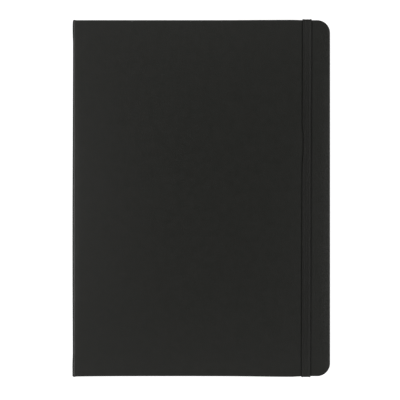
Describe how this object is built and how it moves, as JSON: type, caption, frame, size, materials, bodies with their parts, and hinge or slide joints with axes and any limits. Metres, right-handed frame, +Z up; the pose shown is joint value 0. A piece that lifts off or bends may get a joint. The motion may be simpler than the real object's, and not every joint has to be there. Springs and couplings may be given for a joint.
{
  "type": "sketchbook",
  "caption": "Hardcover sketchbook in plain black leatherette, with sewn sheets that open flat in the middle and an elastic band that holds the book closed.",
  "frame": {"origin": "centre of the back cover's outer face, with the closed book lying on it", "axes": "+X from the spine to the fore edge, +Y to the head, +Z up through the book's thickness"},
  "size_m": [0.219, 0.305, 0.0223],
  "materials": {
    "leatherette": "smooth matt, fine grain",
    "greyboard": "matt",
    "endpaper": "matt",
    "paper": "matt",
    "kraft": "matt",
    "gauze": "open weave",
    "thread": "waxed",
    "band_weave": "woven",
    "elastic": "ribbed weave"
  },
  "bodies": {
    "back_cover": {"back_cover_skin": "leatherette", "back_cover_board": "greyboard", "back_pastedown": "endpaper", "back_flyleaf": "endpaper", "elastic_end_head": "elastic", "elastic_end_tail": "elastic"},
    "spine": {"spine_skin": "leatherette", "spine_board": "greyboard", "spine_liner": "kraft", "spine_mull": "gauze", "sewing_thread": "thread", "head_band": "band_weave", "tail_band": "band_weave"},
    "front_flyleaf": {"front_flyleaf": "endpaper"},
    "front_cover": {"front_cover_skin": "leatherette", "front_cover_board": "greyboard", "front_pastedown": "endpaper"},
    "signature_01": {"signature_01": "paper"},
    "signature_02": {"signature_02": "paper"},
    "signature_03": {"signature_03": "paper"},
    "signature_04": {"signature_04": "paper"},
    "signature_05": {"signature_05": "paper"},
    "signature_06": {"signature_06": "paper"},
    "signature_07": {"signature_07": "paper"},
    "signature_08": {"signature_08": "paper"},
    "signature_09": {"signature_09": "paper"},
    "signature_10": {"signature_10": "paper"},
    "leaf_1": {"leaf_1": "paper"},
    "leaf_2": {"leaf_2": "paper"},
    "leaf_3": {"leaf_3": "paper"},
    "elastic_sides": {"elastic_side_head": "elastic", "elastic_side_tail": "elastic"},
    "elastic_front": {"elastic_front_run": "elastic"}
  },
  "joints": [
    {"name": "book_open", "type": "hinge", "parent": "back_cover", "child": "spine", "pos_m": [-0.11, 0, -0.0005], "axis": [0, -1, 0], "range_deg": [0, 90]},
    {"name": "front_half_turn", "type": "hinge", "parent": "spine", "child": "front_flyleaf", "pos_m": [-0.11, 0, 0.02135], "axis": [0, -1, 0], "range_deg": [0, 90]},
    {"name": "front_cover_open", "type": "hinge", "parent": "front_flyleaf", "child": "front_cover", "pos_m": [-0.11, 0, 0.02135], "axis": [0, -1, 0], "range_deg": [0, 180]},
    {"name": "signature_01_shear", "type": "slide", "parent": "front_flyleaf", "child": "signature_01", "axis": [-1, 0, 0], "range_m": [0, 0.0092]},
    {"name": "signature_02_shear", "type": "slide", "parent": "front_flyleaf", "child": "signature_02", "axis": [-1, 0, 0], "range_m": [0, 0.01003]},
    {"name": "signature_03_shear", "type": "slide", "parent": "front_flyleaf", "child": "signature_03", "axis": [-1, 0, 0], "range_m": [0, 0.01156]},
    {"name": "signature_04_shear", "type": "slide", "parent": "front_flyleaf", "child": "signature_04", "axis": [-1, 0, 0], "range_m": [0, 0.01354]},
    {"name": "signature_05_shear", "type": "slide", "parent": "front_flyleaf", "child": "signature_05", "axis": [-1, 0, 0], "range_m": [0, 0.01588]},
    {"name": "signature_06_shear", "type": "slide", "parent": "back_cover", "child": "signature_06", "axis": [-1, 0, 0], "range_m": [0, 0.01588]},
    {"name": "signature_07_shear", "type": "slide", "parent": "back_cover", "child": "signature_07", "axis": [-1, 0, 0], "range_m": [0, 0.01354]},
    {"name": "signature_08_shear", "type": "slide", "parent": "back_cover", "child": "signature_08", "axis": [-1, 0, 0], "range_m": [0, 0.01156]},
    {"name": "signature_09_shear", "type": "slide", "parent": "back_cover", "child": "signature_09", "axis": [-1, 0, 0], "range_m": [0, 0.01003]},
    {"name": "signature_10_shear", "type": "slide", "parent": "back_cover", "child": "signature_10", "axis": [-1, 0, 0], "range_m": [0, 0.0092]},
    {"name": "leaf_1_turn", "type": "hinge", "parent": "signature_06", "child": "leaf_1", "pos_m": [-0.1043, 0, 0.01013], "axis": [0, -1, 0], "range_deg": [0, 45]},
    {"name": "leaf_2_turn", "type": "hinge", "parent": "signature_06", "child": "leaf_2", "pos_m": [-0.1046, 0, 0.01038], "axis": [0, -1, 0], "range_deg": [0, 90]},
    {"name": "leaf_3_turn", "type": "hinge", "parent": "signature_06", "child": "leaf_3", "pos_m": [-0.1049, 0, 0.01063], "axis": [0, -1, 0], "range_deg": [0, 135]},
    {"name": "elastic_drop", "type": "slide", "parent": "back_cover", "child": "elastic_sides", "axis": [0, 0, -1], "range_m": [0, 0.0109], "deforming": ["elastic_side_head", "elastic_side_tail"]},
    {"name": "elastic_pull", "type": "slide", "parent": "elastic_sides", "child": "elastic_front", "axis": [1, 0, 0], "range_m": [0, 0.03], "deforming": ["elastic_front_run"]}
  ],
  "couplings": [
    {"joint": "front_half_turn", "follows": "book_open", "ratio": 1},
    {"joint": "signature_01_shear", "follows": "book_open", "m_per_rad": 0.0058569},
    {"joint": "signature_02_shear", "follows": "book_open", "m_per_rad": 0.006388},
    {"joint": "signature_03_shear", "follows": "book_open", "m_per_rad": 0.0073593},
    {"joint": "signature_04_shear", "follows": "book_open", "m_per_rad": 0.0086169},
    {"joint": "signature_05_shear", "follows": "book_open", "m_per_rad": 0.010106},
    {"joint": "signature_06_shear", "follows": "book_open", "m_per_rad": 0.010106},
    {"joint": "signature_07_shear", "follows": "book_open", "m_per_rad": 0.0086169},
    {"joint": "signature_08_shear", "follows": "book_open", "m_per_rad": 0.0073593},
    {"joint": "signature_09_shear", "follows": "book_open", "m_per_rad": 0.006388},
    {"joint": "signature_10_shear", "follows": "book_open", "m_per_rad": 0.0058569},
    {"joint": "leaf_1_turn", "follows": "book_open", "ratio": 0.5},
    {"joint": "leaf_2_turn", "follows": "book_open", "ratio": 1},
    {"joint": "leaf_3_turn", "follows": "book_open", "ratio": 1.5},
    {"joint": "elastic_drop", "follows": "book_open", "m_per_rad": 0.0069391}
  ]
}
